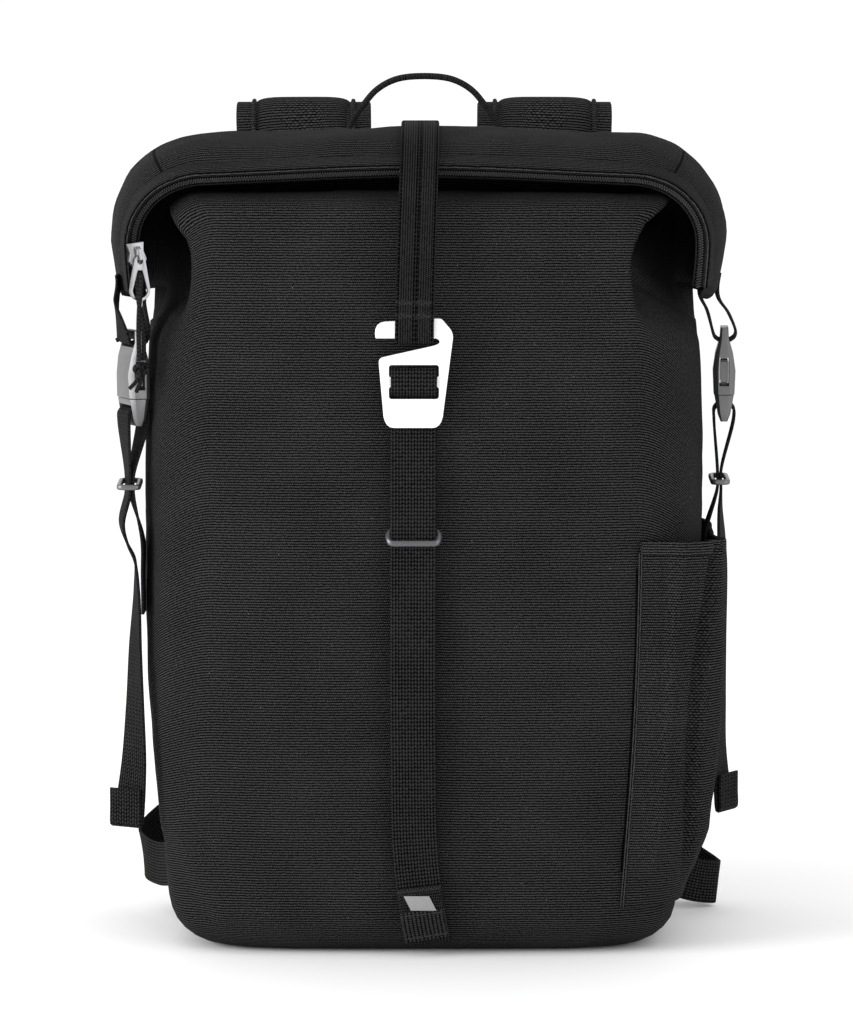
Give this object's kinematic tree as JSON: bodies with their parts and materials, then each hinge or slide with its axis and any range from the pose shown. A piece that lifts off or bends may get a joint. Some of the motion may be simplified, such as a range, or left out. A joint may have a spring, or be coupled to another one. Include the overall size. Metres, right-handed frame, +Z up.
{
  "type": "rolltop backpack",
  "caption": "Upright rolltop backpack of black ribbed cloth, with a hooked centre strap, side buckles, a side pocket, padded shoulder straps and a grab handle.",
  "frame": {"origin": "the middle of the flat base, on the floor that the bag stands on", "axes": "+Z up, the front with the centre strap faces -Y, the shoulder straps are on +Y, and +X is the viewer's right of the front"},
  "size_m": [0.3508, 0.2573, 0.4825],
  "materials": {
    "bag_cloth": "black cloth with fine level ribs, matte",
    "pad_cloth": "black smooth cloth over padding, matte",
    "webbing": "black ribbed webbing, slight sheen",
    "cord": "black braided cord",
    "zip_tape": "black woven tape",
    "zip_coil": "black nylon coil",
    "slider_metal": "satin nickel",
    "hook_metal": "pale satin aluminium",
    "keeper_metal": "dark gunmetal",
    "buckle_grey": "satin grey coating",
    "adjuster_plastic": "black nylon",
    "reflective": "silver reflective tape"
  },
  "bodies": {
    "root": {"bag_shell": "bag_cloth", "side_pocket": "bag_cloth", "zip_tape": "zip_tape", "zip_coil": "zip_coil", "zip_slider": "slider_metal", "zip_puller": "slider_metal", "pull_cord": "cord", "pull_knot": "cord", "over_strap": "webbing", "g_hook": "hook_metal", "front_strap": "webbing", "front_keeper": "keeper_metal", "tail_tab": "webbing", "reflective_strip": "reflective", "roll_loop_left": "webbing", "roll_loop_right": "webbing", "buckle_socket_left": "buckle_grey", "buckle_socket_right": "buckle_grey", "buckle_plug_left": "buckle_grey", "buckle_plug_right": "buckle_grey", "side_strap_left": "webbing", "side_strap_right": "webbing", "side_keeper_left": "buckle_grey", "side_keeper_right": "buckle_grey", "shoulder_strap_left": "pad_cloth", "shoulder_strap_right": "pad_cloth", "strap_adjuster_left": "adjuster_plastic", "strap_adjuster_right": "adjuster_plastic", "lower_webbing_left": "webbing", "lower_webbing_right": "webbing", "grab_handle": "webbing"}
  },
  "joints": []
}
